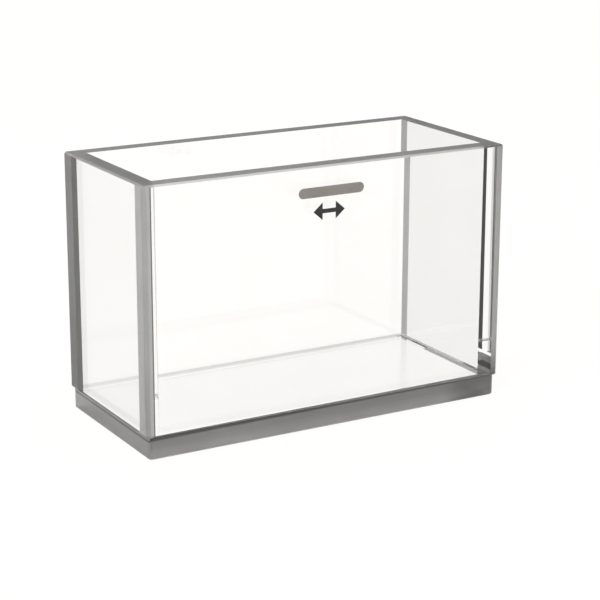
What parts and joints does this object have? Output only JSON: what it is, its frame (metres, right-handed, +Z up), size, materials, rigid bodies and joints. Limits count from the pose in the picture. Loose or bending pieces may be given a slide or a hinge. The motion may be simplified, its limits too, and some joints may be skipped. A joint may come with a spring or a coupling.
{
  "type": "cuvette",
  "caption": "Open-topped rectangular glass cuvette fused from polished plates, with ground edges, on a slightly inset base plate.",
  "frame": {"origin": "centre of the base plate's flat underside", "axes": "+X along the long windows, to the right end wall; +Y from the front window to the back window; +Z up out of the open top"},
  "size_m": [0.055, 0.025, 0.0365],
  "materials": {
    "optical_glass": "polished clear large faces; rim, foot, plate ends, base sides and bevels finely ground, matte grey"
  },
  "bodies": {
    "root": {"base_plate": "optical_glass", "front_window": "optical_glass", "back_window": "optical_glass", "left_end_wall": "optical_glass", "right_end_wall": "optical_glass"}
  },
  "joints": []
}
